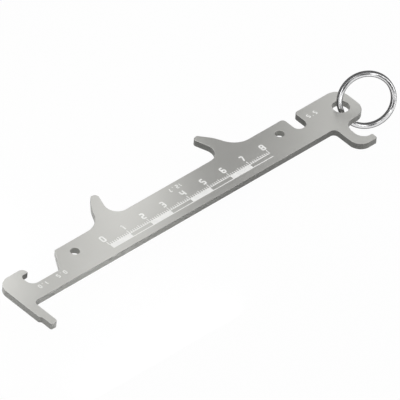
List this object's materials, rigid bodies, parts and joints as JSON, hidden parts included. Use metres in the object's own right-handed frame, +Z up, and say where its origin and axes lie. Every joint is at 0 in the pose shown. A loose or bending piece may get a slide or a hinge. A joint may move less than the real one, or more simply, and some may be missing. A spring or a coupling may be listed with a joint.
{
  "type": "chain wear gauge",
  "caption": "Flat steel gauge with a hook and a stepped tab for measuring chain stretch, chain-holding prongs, a valve slot, a bottle opener and a split ring through its end.",
  "frame": {"origin": "midway between the axes of the two small holes, on the underside of the plate", "axes": "+X along the plate towards the split ring, +Y across the plate towards the prongs, +Z up out of the printed face"},
  "size_m": [0.1837, 0.0424, 0.0215],
  "materials": {
    "plate_steel": "satin, bead-blasted stainless steel with broken edges",
    "ring_plating": "bright nickel-plated spring steel"
  },
  "bodies": {
    "plate": {"gauge_plate": "plate_steel"},
    "ring": {"split_ring": "ring_plating"}
  },
  "joints": [
    {"name": "ring_swing", "type": "hinge", "parent": "plate", "child": "ring", "pos_m": [0.0793, -0.0032, 0.00135], "axis": [0, 0, 1], "range_deg": [-55, 185]}
  ]
}
